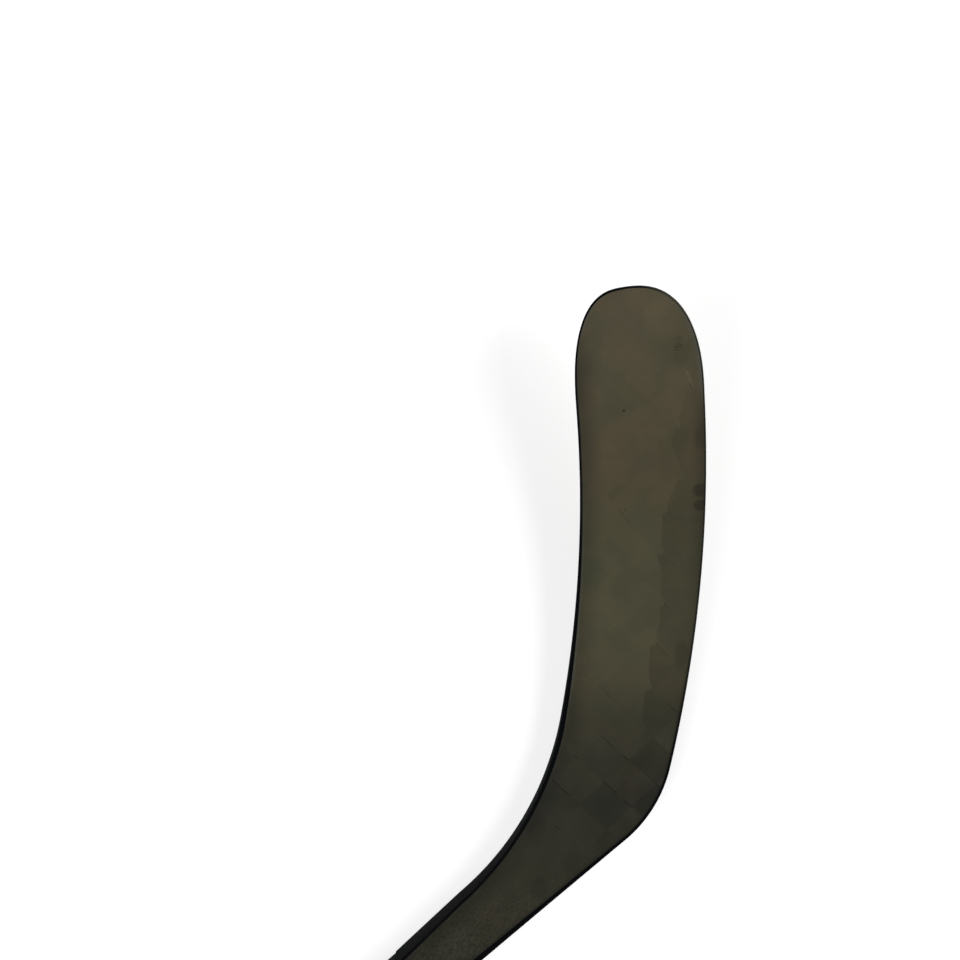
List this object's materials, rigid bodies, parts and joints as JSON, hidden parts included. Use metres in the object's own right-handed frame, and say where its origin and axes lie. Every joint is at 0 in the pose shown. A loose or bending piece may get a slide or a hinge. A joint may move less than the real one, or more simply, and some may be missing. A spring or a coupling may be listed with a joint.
{
  "type": "ice hockey stick",
  "caption": "One-piece composite ice hockey stick with a rectangular hollow shaft, a flared hosel and a curved blade with a checkered carbon face.",
  "frame": {"origin": "under the middle of the whole stick, on the plane that the shaft's back face lies on", "axes": "+X along the shaft from the butt to the blade, +Y towards the side that the blade turns to, +Z out of the blade's concave front face"},
  "size_m": [1.7134, 0.2498, 0.0655],
  "materials": {
    "carbon_cloth": "satin clear coat over spread-tow checker carbon",
    "edge_paint": "matte black paint",
    "shaft_laminate": "satin black carbon laminate",
    "moulded_composite": "moulded short-fibre composite",
    "core_foam": "closed-cell foam",
    "plug_plastic": "moulded plastic"
  },
  "bodies": {
    "root": {"shaft_tube": "shaft_laminate", "butt_plug": "plug_plastic", "hosel_core": "moulded_composite", "blade_front_skin": "carbon_cloth", "blade_back_skin": "carbon_cloth", "ice_edge_rail": "edge_paint", "top_edge_rail": "edge_paint", "toe_cap": "edge_paint", "foam_core_lower": "core_foam", "core_rib": "moulded_composite", "foam_core_upper": "core_foam"}
  },
  "joints": []
}
